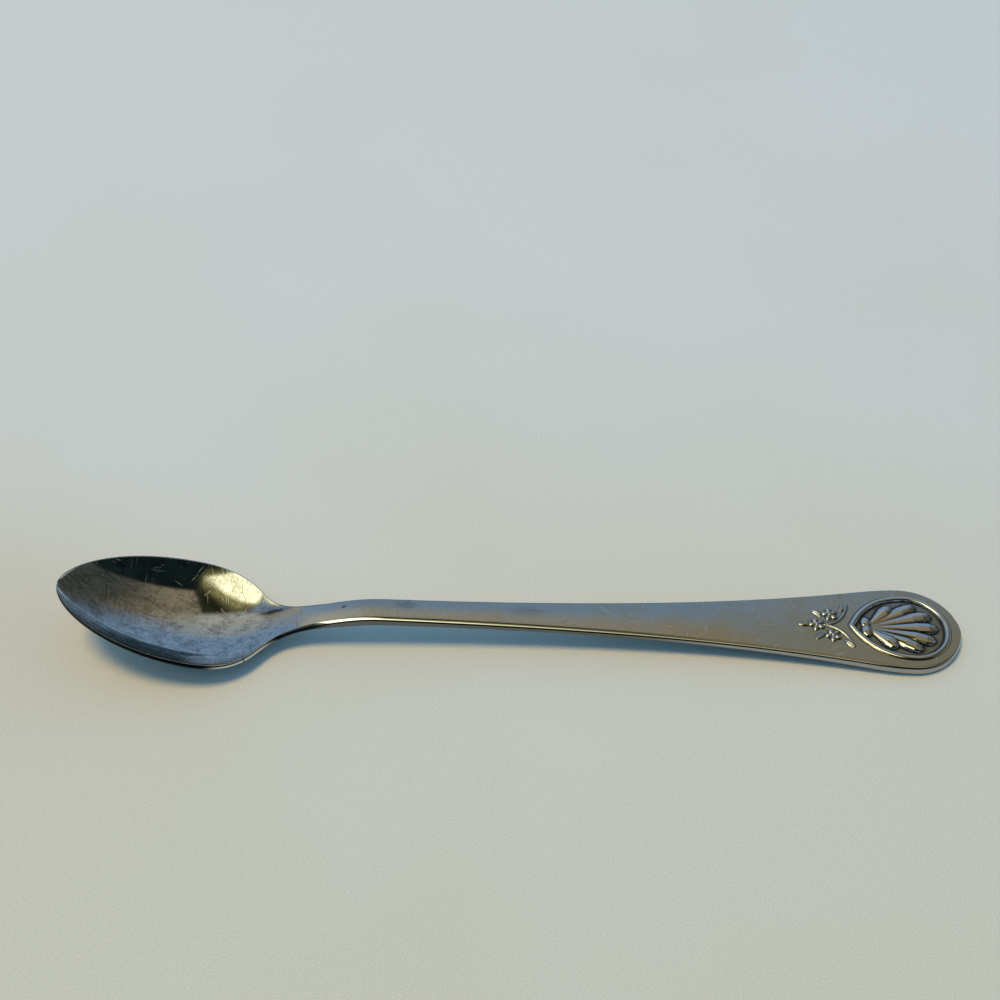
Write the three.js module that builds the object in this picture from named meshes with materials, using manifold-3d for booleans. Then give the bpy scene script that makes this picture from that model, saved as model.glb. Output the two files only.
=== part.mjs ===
// Infant feeding spoon, struck from one blank of stainless steel.
// Millimetres, +Z up. X runs along the spoon, from the bowl's tip at -X to the handle's end at +X.
// The spoon lies on a table at z = 0, on the low point of its bowl and on a flat under the handle's end.
// Places along the spoon, called stations, are measured from the bowl's tip and named AT.

import * as THREE from 'three';
import { LoftGeometry } from 'three/addons/geometries/LoftGeometry.js';
import { mergeVertices } from 'three/addons/utils/BufferGeometryUtils.js';
import Module from 'manifold-3d';

const wasm = await Module();
wasm.setup();

// Overall
const LENGTH = 140;

// Bowl
const BOWL_WIDTH = 21.2;
const BOWL_WIDEST_AT = 20;
const BOWL_TIP_RADIUS = 3.4;
const BOWL_LOWEST_AT = 22.5;
const BOWL_WALL = 1.0;
const RIM_THICKNESS = 0.75;
const RIM_TIP_HEIGHT = 12.2;
const RIM_HEEL_HEIGHT = 3.2;
const HEEL_AT = 30.5;
const HEEL_WIDTH = 12.4;
const HOLLOW_END_AT = 38.5;
const DISH_POWER = 3.0; // how late the floor climbs to the rim across the bowl

// Neck
const NECK_WIDTH = 3.9;
const NECK_NARROWEST_AT = 44;
const CREST_AT = 50;
const CREST_HEIGHT = 6.85;
const CREST_THICKNESS = 2.35;
const NECK_END_AT = 58;

// Handle
const HANDLE_THICKNESS = 1.95;
const SHOULDER_WIDTH = 13.9;
const SHOULDER_LENGTH = 9.5;
const END_WIDTH = 16.2;
const END_ROUND = 8.5;
const FOOT_LENGTH = 10;
const FOOT_THICKNESS = 2.1;

// Edges, rounded above and more so below: small at the rim, full along the handle, crisper close to its end
const RIM_ROUND = 0.4;
const RIM_UNDER_ROUND = 0.3;
const NECK_ROUND = 0.8;
const NECK_UNDER_ROUND = 1.15;
const END_EDGE_ROUND = 0.45;
const END_UNDER_ROUND = 1;
const ROUND_HOLD = 3; // power that keeps the round full for most of the handle
const TIP_FACET = 0.6; // width of the small facet that closes each end

// Crown of the handle's top, which dies out into the flat of the struck end
const HANDLE_CROWN = 0.05; // rise at the middle, as a share of the half width
const CROWN_FADE = 16;

// Teardrop frame struck round the field of the handle's end
const FRAME_LENGTH = 16.3;
const FRAME_MARGIN = 1.6;
const FRAME_BAND = 0.95;
const FRAME_RISE = 0.38;
const FIELD_SINK = 0.16;

// Scallop shell in the frame
const SHELL_RIBS = 7;
const SHELL_SPREAD = THREE.MathUtils.degToRad(84);
const SHELL_GAP = 0.9;
const SHELL_RIB_WIDTH = 2.3;
const SHELL_RISE = 0.62;
const HINGE_GAP = 3.0;

// Flower sprig struck before the frame's point
const SPRIG_LENGTH = 8.4;
const SPRIG_RISE = 0.36;
const PETALS = 5;
const PETAL_LENGTH = 1.15;
const PETAL_WIDTH = 0.8;
const LEAF_LENGTH = 1.9;
const LEAF_WIDTH = 0.75;
const STEM_WIDTH = 0.42;

// Steps of the lofts
const ACROSS_STEPS = 14;
const ROUND_STEPS = 3;
const TIP_STEPS = 12;
const HEEL_STEPS = 16;
const NECK_STEPS = 12;
const HANDLE_STEPS = 16;
const SHOULDER_STEPS = 12;
const END_STEPS = 12;

// Stations and heights that follow from the sizes
const endWidestAt = LENGTH - END_ROUND;
const shoulderAt = endWidestAt - SHOULDER_LENGTH;
const footAt = LENGTH - FOOT_LENGTH;
const framePointAt = LENGTH - FRAME_MARGIN - FRAME_LENGTH;
const endZoneAt = framePointAt - SPRIG_LENGTH - FRAME_MARGIN;
const frameHalf = END_WIDTH / 2 - FRAME_MARGIN;
const handleFall = (CREST_HEIGHT - FOOT_THICKNESS) / (footAt - CREST_AT);
const topHeight = (s) => CREST_HEIGHT - handleFall * (s - CREST_AT);

const QUARTER_LEAD = 0.5523; // lead that turns a curve into a quarter of an ellipse

// A line along the spoon, through knots in order. Each knot gives its station, the line's value and slope
// there, and how far the line keeps to that slope before and after it, as shares of the stretches on each side.
// A knot with a rise in place of a slope starts or ends the line straight across the spoon.
function lineThrough(knots) {
  const lead = (knot, run) =>
    knot.rise === undefined
      ? new THREE.Vector2(knot.at + run, knot.value + knot.slope * run)
      : new THREE.Vector2(knot.at, knot.value + knot.rise);
  const curves = knots.slice(1).map((to, i) => {
    const from = knots[i];
    const stretch = to.at - from.at;
    return new THREE.CubicBezierCurve(
      new THREE.Vector2(from.at, from.value),
      lead(from, from.after * stretch),
      lead(to, -to.before * stretch),
      new THREE.Vector2(to.at, to.value)
    );
  });
  return (s) => {
    const curve = curves.find((c) => s <= c.v3.x) ?? curves.at(-1);
    let [low, high] = [0, 1];
    while (high - low > 1e-9) {
      const middle = (low + high) / 2;
      if (curve.getPoint(middle).x < s) low = middle;
      else high = middle;
    }
    return curve.getPoint(low).y;
  };
}

// Half width of the spoon in plan
const tipBefore = 0.61;
const tipRise = Math.sqrt((BOWL_TIP_RADIUS * (1 - tipBefore) * BOWL_WIDEST_AT) / 1.5);
const halfWidthAt = lineThrough([
  { at: 0, value: 0, rise: tipRise },
  { at: BOWL_WIDEST_AT, value: BOWL_WIDTH / 2, slope: 0, before: tipBefore, after: 0.52 },
  { at: HEEL_AT - 0.5, value: HEEL_WIDTH / 2, slope: -1.22, before: 0.19, after: 0.2 },
  { at: NECK_NARROWEST_AT, value: NECK_WIDTH / 2, slope: 0.006, before: 0.61, after: 0.4 },
  { at: shoulderAt, value: SHOULDER_WIDTH / 2, slope: 0.165, before: 0.28, after: 0.4 },
  { at: endWidestAt, value: END_WIDTH / 2, slope: 0, before: 0.32, after: QUARTER_LEAD },
  { at: LENGTH, value: 0, rise: (END_WIDTH / 2) * QUARTER_LEAD },
]);

// Height of the upper edge: the rim falls from tip to heel, then the top climbs the neck and falls to the end
const edgeAt = lineThrough([
  { at: 0, value: RIM_TIP_HEIGHT, slope: -0.346, after: 0.29 },
  { at: HEEL_AT, value: RIM_HEEL_HEIGHT, slope: -0.05, before: 0.18, after: 0.24 },
  { at: CREST_AT, value: CREST_HEIGHT, slope: -handleFall, before: 0.47, after: 1 / 3 },
  { at: LENGTH, value: topHeight(LENGTH), slope: -handleFall, before: 1 / 3 },
]);

// Floor of the bowl along its middle, out to where the hollow runs up into the neck's top
const hollowSlope = (edgeAt(HOLLOW_END_AT + 0.01) - edgeAt(HOLLOW_END_AT - 0.01)) / 0.02;
const floorAt = lineThrough([
  { at: 0, value: RIM_TIP_HEIGHT, slope: -1.34, after: 0.2 },
  { at: BOWL_LOWEST_AT, value: BOWL_WALL, slope: 0, before: 0.4, after: 0.38 },
  { at: HOLLOW_END_AT, value: edgeAt(HOLLOW_END_AT), slope: hollowSlope, before: 0.25 },
]);

// Underside along the middle: a wall below the bowl's floor, then a long shallow arch from neck to foot
const crestUnder = CREST_HEIGHT - CREST_THICKNESS;
const archSpan = footAt - CREST_AT;
const archMiddle = topHeight(CREST_AT + archSpan / 2) - HANDLE_THICKNESS;
const archBend = (4 * archMiddle - 2 * crestUnder) / archSpan;
const chordFall = crestUnder / archSpan;
const underAt = lineThrough([
  { at: 0, value: RIM_TIP_HEIGHT - RIM_THICKNESS, slope: -1.57, after: 0.18 },
  { at: BOWL_LOWEST_AT, value: 0, slope: 0, before: 0.4, after: 0.24 },
  { at: CREST_AT, value: crestUnder, slope: archBend - chordFall, before: 0.36, after: 1 / 3 },
  { at: footAt, value: 0, slope: -archBend - chordFall, before: 1 / 3, after: 1 / 3 },
  { at: LENGTH, value: -(archBend + chordFall) * FOOT_LENGTH, slope: -archBend - chordFall, before: 1 / 3 },
]);

// The bowl's thin lip grows to the full thickness, and its small rounds to the neck's, on the way up the neck
const intoNeck = (s, atBowl, atNeck) =>
  THREE.MathUtils.lerp(atBowl, atNeck, THREE.MathUtils.smoothstep(s, HEEL_AT, NECK_NARROWEST_AT));
const handleShare = (s) => THREE.MathUtils.clamp((s - CREST_AT) / (endWidestAt - CREST_AT), 0, 1);
const alongHandle = (s, atNeck, atEnd) => THREE.MathUtils.lerp(atNeck, atEnd, handleShare(s) ** ROUND_HOLD);
const crownAt = (s) =>
  intoNeck(s, 0, HANDLE_CROWN) * (1 - THREE.MathUtils.smoothstep(s, endZoneAt - CROWN_FADE, endZoneAt));

const evenStations = (from, to, steps) =>
  Array.from({ length: steps + 1 }, (_, i) => THREE.MathUtils.lerp(from, to, i / steps));

// Cross-section at a station, counter-clockwise seen from the handle's end
function sectionAt(s) {
  const half = Math.max(halfWidthAt(s), TIP_FACET / 2);
  const edge = edgeAt(s);
  const floor = s < HOLLOW_END_AT ? Math.min(floorAt(s), edge) : edge;
  const under = underAt(s);
  const wall = intoNeck(s, RIM_THICKNESS, edge - under);
  const lip = edge - wall;
  const wantedTop = intoNeck(s, RIM_ROUND, alongHandle(s, NECK_ROUND, END_EDGE_ROUND));
  const wantedUnder = intoNeck(s, RIM_UNDER_ROUND, alongHandle(s, NECK_UNDER_ROUND, END_UNDER_ROUND));
  const roomInWall = (0.95 * wall) / (wantedTop + wantedUnder);
  const roomAcross = (0.45 * half) / Math.max(wantedTop, wantedUnder);
  const topRound = wantedTop * Math.min(roomInWall, roomAcross, 1);
  const underRound = wantedUnder * Math.min(roomInWall, roomAcross, 1);
  const crown = crownAt(s) * half;

  const place = (y, z) => new THREE.Vector3(s - LENGTH / 2, y, z);
  const dished = (low, high, share) => low + (high - low) * Math.abs(share) ** DISH_POWER;
  const topPoint = (v) => place(v * (half - topRound), dished(floor, edge, v) + crown * (1 - v ** 2));
  const bottomPoint = (v) => place(v * (half - underRound), dished(under, lip, v));
  const underArc = (angle) =>
    place(half - underRound * (1 - Math.sin(angle)), lip + underRound * (1 - Math.cos(angle)));
  const topArc = (angle) =>
    place(half - topRound * (1 - Math.cos(angle)), edge - topRound * (1 - Math.sin(angle)));

  const shares = evenStations(-Math.PI / 2, Math.PI / 2, ACROSS_STEPS).map(Math.sin);
  const turns = evenStations(0, Math.PI / 2, ROUND_STEPS);
  const bottom = shares.map(bottomPoint);
  const rising = [...turns.slice(1).map(underArc), ...turns.slice(0, -1).map(topArc)];
  const top = shares.toReversed().map(topPoint);
  const falling = rising.toReversed().map((p) => place(-p.y, p.z));
  return [...bottom, ...rising, ...top, ...falling];
}

// Stations that crowd towards a round end, so that its outline stays round
const endStations = (end, inner, steps) =>
  evenStations(0, Math.PI / 2, steps).map((angle) => end + (inner - end) * (1 - Math.cos(angle)));

function loftThrough(stations) {
  const inOrder = stations.toSorted((a, b) => a - b);
  const apart = inOrder.filter((s, i) => i === 0 || s - inOrder[i - 1] > 0.01);
  return new LoftGeometry(apart.map(sectionAt), { closed: true, capStart: true, capEnd: true });
}

// Solids, for joining and cutting
function solidOf(geometry) {
  const bare = new THREE.BufferGeometry();
  bare.setAttribute('position', geometry.getAttribute('position'));
  bare.setIndex(geometry.getIndex());
  const merged = mergeVertices(bare);
  return new wasm.Manifold(
    new wasm.Mesh({
      numProp: 3,
      vertProperties: new Float32Array(merged.attributes.position.array),
      triVerts: new Uint32Array(merged.index.array),
    })
  );
}

function geometryOf(solid) {
  const mesh = solid.getMesh();
  const geometry = new THREE.BufferGeometry();
  geometry.setAttribute('position', new THREE.BufferAttribute(new Float32Array(mesh.vertProperties), 3));
  geometry.setIndex(new THREE.BufferAttribute(new Uint32Array(mesh.triVerts), 1));
  geometry.computeVertexNormals();
  return geometry;
}

// The ornament is drawn flat, with x along the handle from the frame's point, and laid on the sloping top
const ontoHandle = new THREE.Matrix4()
  .makeTranslation(framePointAt - LENGTH / 2, 0, topHeight(framePointAt))
  .multiply(new THREE.Matrix4().makeRotationY(Math.atan(handleFall)));
const laidOnHandle = (geometry) => solidOf(geometry.applyMatrix4(ontoHandle));

// Teardrop outline, drawn in by an inset all round
function teardrop(inset) {
  const half = frameHalf - inset;
  const centre = FRAME_LENGTH - frameHalf;
  const point = inset * (FRAME_LENGTH / frameHalf) * 0.55;
  const side = centre - point;
  const full = { x: point + 0.5 * side, y: half };
  const sharp = { x: point + 0.2 * side, y: 0.57 * half };
  return new THREE.Shape()
    .moveTo(point, 0)
    .bezierCurveTo(sharp.x, -sharp.y, full.x, -full.y, centre, -half)
    .absarc(centre, 0, half, -Math.PI / 2, Math.PI / 2)
    .bezierCurveTo(full.x, full.y, sharp.x, sharp.y, point, 0);
}

function frameBand() {
  const round = 0.28 * FRAME_BAND;
  const outline = teardrop(round);
  outline.holes.push(teardrop(FRAME_BAND - round));
  const bevel = { bevelThickness: FRAME_RISE / 2, bevelSize: round, bevelSegments: 2 };
  return new THREE.ExtrudeGeometry(outline, { depth: FRAME_RISE, curveSegments: 14, ...bevel }).translate(
    0,
    0,
    -FRAME_RISE / 2
  );
}

function sunkField() {
  const depth = FRAME_RISE + FIELD_SINK;
  const outline = teardrop(0.7 * FRAME_BAND);
  return new THREE.ExtrudeGeometry(outline, { depth, curveSegments: 14, bevelEnabled: false }).translate(
    0,
    0,
    -FIELD_SINK
  );
}

// A rib swells from the hinge to a round outer end on the shell's circle, and lies half sunk in the field
function shellRib(angle) {
  const radius = frameHalf - FRAME_BAND - SHELL_GAP;
  const reach = FRAME_LENGTH - frameHalf - HINGE_GAP;
  const length = reach * Math.cos(angle) + Math.sqrt(Math.max(radius ** 2 - (reach * Math.sin(angle)) ** 2, 0));
  const swell = [
    { along: 0, wide: 0 },
    { along: 0.35, wide: 0.5 },
    { along: 0.7, wide: 1 },
    { along: 0.92, wide: 0.75 },
    { along: 1, wide: 0 },
  ];
  const profile = swell.map((p) => new THREE.Vector2((p.wide * SHELL_RIB_WIDTH) / 2, p.along * length));
  return new THREE.LatheGeometry(profile, 10)
    .rotateZ(-Math.PI / 2)
    .scale(1, 1, (SHELL_RISE + FIELD_SINK) / (SHELL_RIB_WIDTH / 2))
    .rotateZ(angle)
    .translate(HINGE_GAP, 0, -FIELD_SINK);
}

const bead = (length, width, rise) => new THREE.SphereGeometry(1, 8, 6).scale(length / 2, width / 2, rise);

function shellEar(side) {
  const ear = { length: 1.6, width: 2.3, aside: 0.8 };
  return bead(ear.length, ear.width, 0.8 * SHELL_RISE).translate(HINGE_GAP, side * ear.aside, -FIELD_SINK);
}

function blossom(ahead, aside, turn) {
  const petals = Array.from({ length: PETALS }, (_, i) =>
    bead(PETAL_LENGTH, PETAL_WIDTH, SPRIG_RISE)
      .translate(0.62 * PETAL_LENGTH, 0, 0)
      .rotateZ(turn + (i * 2 * Math.PI) / PETALS)
  );
  const heart = bead(PETAL_WIDTH, PETAL_WIDTH, 1.1 * SPRIG_RISE);
  return [...petals, heart].map((piece) => piece.translate(-ahead, aside, 0));
}

const leaf = (ahead, aside, turn) =>
  bead(LEAF_LENGTH, LEAF_WIDTH, 0.8 * SPRIG_RISE).rotateZ(turn).translate(-ahead, aside, 0);

function stem(...places) {
  const round = new THREE.Shape().absarc(0, 0, STEM_WIDTH / 2, 0, 2 * Math.PI);
  const path = new THREE.CatmullRomCurve3(places.map(([ahead, aside]) => new THREE.Vector3(-ahead, aside, 0)));
  return new THREE.ExtrudeGeometry(round, { steps: 8, curveSegments: 6, extrudePath: path });
}

// Sprig, placed by distance ahead of the frame's point and to each side: a blossom in front and one on each
// side, leaves between them, and two stems that part round the point
function sprig() {
  const front = [...blossom(4.8, 0, Math.PI), leaf(6.8, 0, 0)];
  const sides = [-1, 1].flatMap((side) => [
    ...blossom(2.5, side * 2.1, side * 0.5),
    leaf(4.6, side * 2.3, side * -0.7),
    leaf(0.2, side * 3.7, side * 0.9),
    stem([3.6, 0], [1.0, side * 1.3], [-0.4, side * 4.2]),
  ]);
  return [...front, ...sides];
}

// Everything below the table, taken off to leave the flat foot
function belowTable() {
  return solidOf(new THREE.BoxGeometry(LENGTH, LENGTH, LENGTH).translate(LENGTH / 2, 0, -LENGTH / 2));
}

function handleEnd() {
  const blank = loftThrough([
    ...evenStations(endZoneAt, endWidestAt, SHOULDER_STEPS),
    ...endStations(LENGTH, endWidestAt, END_STEPS),
  ]);
  const ribs = evenStations(-SHELL_SPREAD / 2, SHELL_SPREAD / 2, SHELL_RIBS - 1).map(shellRib);
  const raised = [frameBand(), ...ribs, shellEar(-1), shellEar(1), ...sprig()];
  const field = solidOf(blank).subtract(belowTable()).subtract(laidOnHandle(sunkField()));
  return geometryOf(raised.reduce((solid, piece) => solid.add(laidOnHandle(piece)), field));
}

const bowl = () =>
  loftThrough([
    ...endStations(0, BOWL_WIDEST_AT, TIP_STEPS),
    ...evenStations(BOWL_LOWEST_AT, HOLLOW_END_AT, HEEL_STEPS),
  ]);
const neck = () => loftThrough(evenStations(HOLLOW_END_AT, NECK_END_AT, NECK_STEPS));
const handle = () => loftThrough(evenStations(NECK_END_AT, endZoneAt, HANDLE_STEPS));

function named(name, geometry, color, roughness) {
  const mesh = new THREE.Mesh(geometry, new THREE.MeshStandardMaterial({ color, roughness, metalness: 1 }));
  mesh.name = name;
  return mesh;
}

const spoon = new THREE.Group();
spoon.add(
  named('bowl', bowl(), 0x9aa0a3, 0.3),
  named('neck', neck(), 0x8f959a, 0.36),
  named('handle', handle(), 0x8f959a, 0.36),
  named('handle_end', handleEnd(), 0x8b8e8a, 0.36)
);

export default spoon;
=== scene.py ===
"""Looks of an infant feeding spoon: four struck zones of worn steel on a pale table.

Sizes are the part's own, in millimetres, and become metres where a mesh or a material is made. Stations are
distances along the spoon from the tip of its bowl.
"""

import logging
import math
from collections.abc import Callable, Sequence
from dataclasses import dataclass
from enum import Enum
from typing import Any

import bpy
import numpy as np
from mathutils import Matrix, Vector


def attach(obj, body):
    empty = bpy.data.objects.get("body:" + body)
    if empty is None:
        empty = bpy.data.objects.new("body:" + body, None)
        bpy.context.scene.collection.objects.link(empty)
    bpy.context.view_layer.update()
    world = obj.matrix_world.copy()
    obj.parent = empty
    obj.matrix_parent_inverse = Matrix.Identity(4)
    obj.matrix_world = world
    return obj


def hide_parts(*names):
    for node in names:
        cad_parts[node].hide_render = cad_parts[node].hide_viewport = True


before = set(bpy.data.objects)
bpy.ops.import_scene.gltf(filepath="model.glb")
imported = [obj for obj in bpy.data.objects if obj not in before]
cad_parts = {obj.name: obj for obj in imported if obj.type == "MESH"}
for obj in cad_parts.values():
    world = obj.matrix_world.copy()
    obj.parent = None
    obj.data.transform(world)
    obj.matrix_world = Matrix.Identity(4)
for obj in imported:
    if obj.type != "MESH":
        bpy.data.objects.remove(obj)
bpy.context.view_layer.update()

LOG = logging.getLogger("spoon")
MM = 0.001
TINY = 1e-12
Colour = tuple[float, float, float]
Direction = tuple[float, float, float]
Place = tuple[float, float]
Range = tuple[float, float]
Relief = Callable[[np.ndarray, np.ndarray], np.ndarray]


class ZoneName(Enum):
    """Zones of the one blank, named as the part's nodes."""

    BOWL = "bowl"
    NECK = "neck"
    HANDLE = "handle"
    HANDLE_END = "handle_end"


class Slot(Enum):
    """Material slots of the part's record."""

    BOWL_STEEL = "bowl_steel"
    HANDLE_STEEL = "handle_steel"


class Mark(Enum):
    """Values that a zone's mesh carries for its finish."""

    FLANK = "flank"
    RECESS = "recess"
    STRUCK = "struck"


@dataclass(frozen=True)
class Knot:
    """A point of a line along the spoon, and how the line passes through it.

    A knot with a rise starts or ends its line straight across the spoon.
    """

    at: float
    value: float
    slope: float = 0.0
    before: float = 1 / 3
    after: float = 1 / 3
    rise: float | None = None

    def lead(self, run: float) -> tuple[float, float]:
        """Control point that lies a run of station away.

        Args:
            run: Distance along the spoon, negative towards the bowl's tip.

        Returns:
            The control point's station and value.
        """
        if self.rise is not None:
            return self.at, self.value + self.rise
        return self.at + run, self.value + self.slope * run


class Line:
    """A smooth line along the spoon, read as its value at any station."""

    SAMPLES = 3000

    def __init__(self, *knots: Knot) -> None:
        """Samples the curves between the knots.

        Args:
            knots: Knots in order of station.
        """
        t = np.linspace(0.0, 1.0, self.SAMPLES)[:, None]
        weights = ((1 - t) ** 3, 3 * (1 - t) ** 2 * t, 3 * (1 - t) * t**2, t**3)
        stretches = []
        for a, b in zip(knots, knots[1:]):
            run = b.at - a.at
            controls = ((a.at, a.value), a.lead(a.after * run), b.lead(-b.before * run), (b.at, b.value))
            stretches.append(sum(weight * np.array(point) for weight, point in zip(weights, controls)))
        self.points = np.vstack(stretches)

    def __call__(self, station: np.ndarray | float) -> np.ndarray:
        """Values of the line at the stations."""
        return np.interp(station, self.points[:, 0], self.points[:, 1])


def smooth_step(value: np.ndarray, low: float, high: float) -> np.ndarray:
    """Eases from 0 at low to 1 at high.

    Args:
        value: Values to ease.
        low: Value that gives 0.
        high: Value that gives 1.

    Returns:
        The eased shares.
    """
    share = np.clip((value - low) / (high - low), 0.0, 1.0)
    return share**2 * (3 - 2 * share)


@dataclass(frozen=True)
class Levels:
    """Half widths of the sections, and the heights of their floor, edge, lip and underside."""

    half: np.ndarray
    floor: np.ndarray
    edge: np.ndarray
    lip: np.ndarray
    under: np.ndarray


@dataclass(frozen=True)
class EdgeRound:
    """Rounding of the sections' top or under edges: its height, its reach across and its bevel."""

    height: np.ndarray
    reach: np.ndarray
    bevel: np.ndarray


@dataclass
class SpoonForm:
    """Outline, heights and cross-sections of the whole blank, in millimetres.

    An edge bevel of 1 is a round edge, and one of 2 a straight slope. At the neck's crest the top lies lower
    than its line by neck_slim. There each side stands further out by the share slim_spread of that, and the
    underside lies lower by the share slim_sink. Edge rounds take up no more than wall_share of a section's
    side, and half_share of its half width.
    """

    length: float = 140.0
    bowl_width: float = 21.2
    bowl_widest_at: float = 20.0
    bowl_tip_radius: float = 3.4
    bowl_tip_lead: float = 0.61
    bowl_lowest_at: float = 22.5
    bowl_wall: float = 1.0
    rim_thickness: float = 0.75
    rim_tip_height: float = 12.2
    rim_heel_height: float = 3.2
    heel_at: float = 30.5
    heel_width: float = 12.4
    heel_width_ahead: float = 0.5
    hollow_end_at: float = 38.5
    dish_power: float = 3.0
    neck_width: float = 3.9
    neck_narrowest_at: float = 44.0
    neck_end_at: float = 58.0
    crest_at: float = 50.0
    crest_height: float = 6.85
    crest_thickness: float = 2.35
    handle_thickness: float = 1.95
    shoulder_width: float = 13.9
    shoulder_length: float = 9.5
    end_width: float = 16.2
    end_round: float = 8.5
    foot_length: float = 10.0
    foot_thickness: float = 2.1
    rim_round: float = 0.4
    rim_under_round: float = 0.3
    neck_round: float = 0.52
    neck_under_round: float = 1.1
    end_edge_round: float = 0.45
    end_under_round: float = 1.0
    round_hold: float = 3.0
    wall_share: float = 0.95
    half_share: float = 0.45
    edge_bevel: float = 1.4
    under_bevel: float = 1.3
    bevel_breadth: float = 1.2
    neck_slim: float = 0.4
    slim_spread: float = 0.8
    slim_sink: float = 0.75
    tip_facet: float = 0.6
    handle_crown: float = 0.034
    crown_fade: float = 16.0
    end_zone_at: float = 112.1
    round_steps: int = 10
    under_steps: int = 48
    slope_step: float = 0.01
    quarter_lead: float = 0.5523

    def __post_init__(self) -> None:
        """Draws the lines that the sections are read from."""
        self.end_widest_at = self.length - self.end_round
        shoulder_at = self.end_widest_at - self.shoulder_length
        foot_at = self.length - self.foot_length
        self.fall = (self.crest_height - self.foot_thickness) / (foot_at - self.crest_at)
        # The radius at a cubic's start is 1.5 times its rise squared, over its run to the next control point.
        tip_rise = math.sqrt(self.bowl_tip_radius * (1 - self.bowl_tip_lead) * self.bowl_widest_at / 1.5)
        heel_from = self.heel_at - self.heel_width_ahead
        end_half = self.end_width / 2
        self.half_width = Line(
            Knot(0, 0, rise=tip_rise),
            Knot(self.bowl_widest_at, self.bowl_width / 2, before=self.bowl_tip_lead, after=0.52),
            Knot(heel_from, self.heel_width / 2, slope=-1.22, before=0.19, after=0.2),
            Knot(self.neck_narrowest_at, self.neck_width / 2, slope=0.006, before=0.61, after=0.4),
            Knot(shoulder_at, self.shoulder_width / 2, slope=0.165, before=0.28, after=0.4),
            Knot(self.end_widest_at, end_half, before=0.32, after=self.quarter_lead),
            Knot(self.length, 0, rise=end_half * self.quarter_lead),
        )
        self.edge = Line(
            Knot(0, self.rim_tip_height, slope=-0.346, after=0.29),
            Knot(self.heel_at, self.rim_heel_height, slope=-0.05, before=0.18, after=0.24),
            Knot(self.crest_at, self.crest_height, slope=-self.fall, before=0.47),
            Knot(self.length, self.top_height(self.length), slope=-self.fall),
        )
        nearby = self.hollow_end_at + self.slope_step * np.array([-1.0, 1.0])
        hollow_slope = float(np.diff(self.edge(nearby))[0] / np.diff(nearby)[0])
        self.floor = Line(
            Knot(0, self.rim_tip_height, slope=-1.34, after=0.2),
            Knot(self.bowl_lowest_at, self.bowl_wall, before=0.4, after=0.38),
            Knot(self.hollow_end_at, float(self.edge(self.hollow_end_at)), slope=hollow_slope, before=0.25),
        )
        crest_under = self.crest_height - self.crest_thickness
        span = foot_at - self.crest_at
        middle = self.top_height(self.crest_at + span / 2) - self.handle_thickness
        bend = (4 * middle - 2 * crest_under) / span
        chord = crest_under / span
        self.under = Line(
            Knot(0, self.rim_tip_height - self.rim_thickness, slope=-1.57, after=0.18),
            Knot(self.bowl_lowest_at, 0, before=0.4, after=0.24),
            Knot(self.crest_at, crest_under, slope=bend - chord, before=0.36),
            Knot(foot_at, 0, slope=-bend - chord),
            Knot(self.length, -(bend + chord) * self.foot_length, slope=-bend - chord),
        )

    def top_height(self, station: float) -> float:
        """Height of the handle's straight top at a station."""
        return self.crest_height - self.fall * (station - self.crest_at)

    def into_neck(
        self, s: np.ndarray, at_bowl: np.ndarray | float, at_neck: np.ndarray | float
    ) -> np.ndarray:
        """Eases a size from the bowl's to the handle's on the way up the neck.

        Args:
            s: Stations.
            at_bowl: The bowl's size.
            at_neck: The handle's size.

        Returns:
            The size at each station.
        """
        share = smooth_step(s, self.heel_at, self.neck_narrowest_at)
        return at_bowl + (at_neck - at_bowl) * share

    def handle_share(self, s: np.ndarray) -> np.ndarray:
        """Share of the way from the neck's crest to the widest place of the handle's end."""
        return np.clip((s - self.crest_at) / (self.end_widest_at - self.crest_at), 0.0, 1.0)

    def edge_size(self, s: np.ndarray, at_bowl: float, at_neck: float, at_end: float) -> np.ndarray:
        """Size of the edge, which holds the neck's for long and turns to the end's close to it.

        Args:
            s: Stations.
            at_bowl: Size along the bowl's rim.
            at_neck: Size at the neck.
            at_end: Size round the handle's end.

        Returns:
            The size at each station.
        """
        along_handle = at_neck + (at_end - at_neck) * self.handle_share(s) ** self.round_hold
        return self.into_neck(s, at_bowl, along_handle)

    def edge_rounds(
        self, s: np.ndarray, half: np.ndarray, wall: np.ndarray
    ) -> tuple[EdgeRound, EdgeRound]:
        """Rounding of the edges, made smaller where a section has no room for it.

        Args:
            s: Stations.
            half: Half widths of the sections.
            wall: Heights of their sides.

        Returns:
            The rounding at the top, and that at the underside.
        """
        top = self.edge_size(s, self.rim_round, self.neck_round, self.end_edge_round)
        under = self.edge_size(s, self.rim_under_round, self.neck_under_round, self.end_under_round)
        by_wall = self.wall_share * wall / (top + under)
        by_half = self.half_share * half / np.maximum(top, under)
        room = np.minimum(np.minimum(by_wall, by_half), 1.0)
        top, under = room * top, room * under
        breadth = self.edge_size(s, 1.0, self.bevel_breadth, 1.0)
        return (
            EdgeRound(top, breadth * top, self.edge_size(s, 1.0, self.edge_bevel, 1.0)),
            EdgeRound(under, breadth * under, self.edge_size(s, 1.0, self.under_bevel, 1.0)),
        )

    @staticmethod
    def turned_in(s: np.ndarray, rounding: float) -> np.ndarray:
        """How far an edge of this rounding turns in at the bowl's tip."""
        return rounding * (1 - np.sqrt(1 - np.clip(1 - s / rounding, 0.0, 1.0) ** 2))

    @staticmethod
    def across_section(steps: int) -> np.ndarray:
        """Places across a section from -1 to 1, which crowd towards its sides."""
        return np.sin(np.linspace(-math.pi / 2, math.pi / 2, steps + 1))[None, :]

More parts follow.
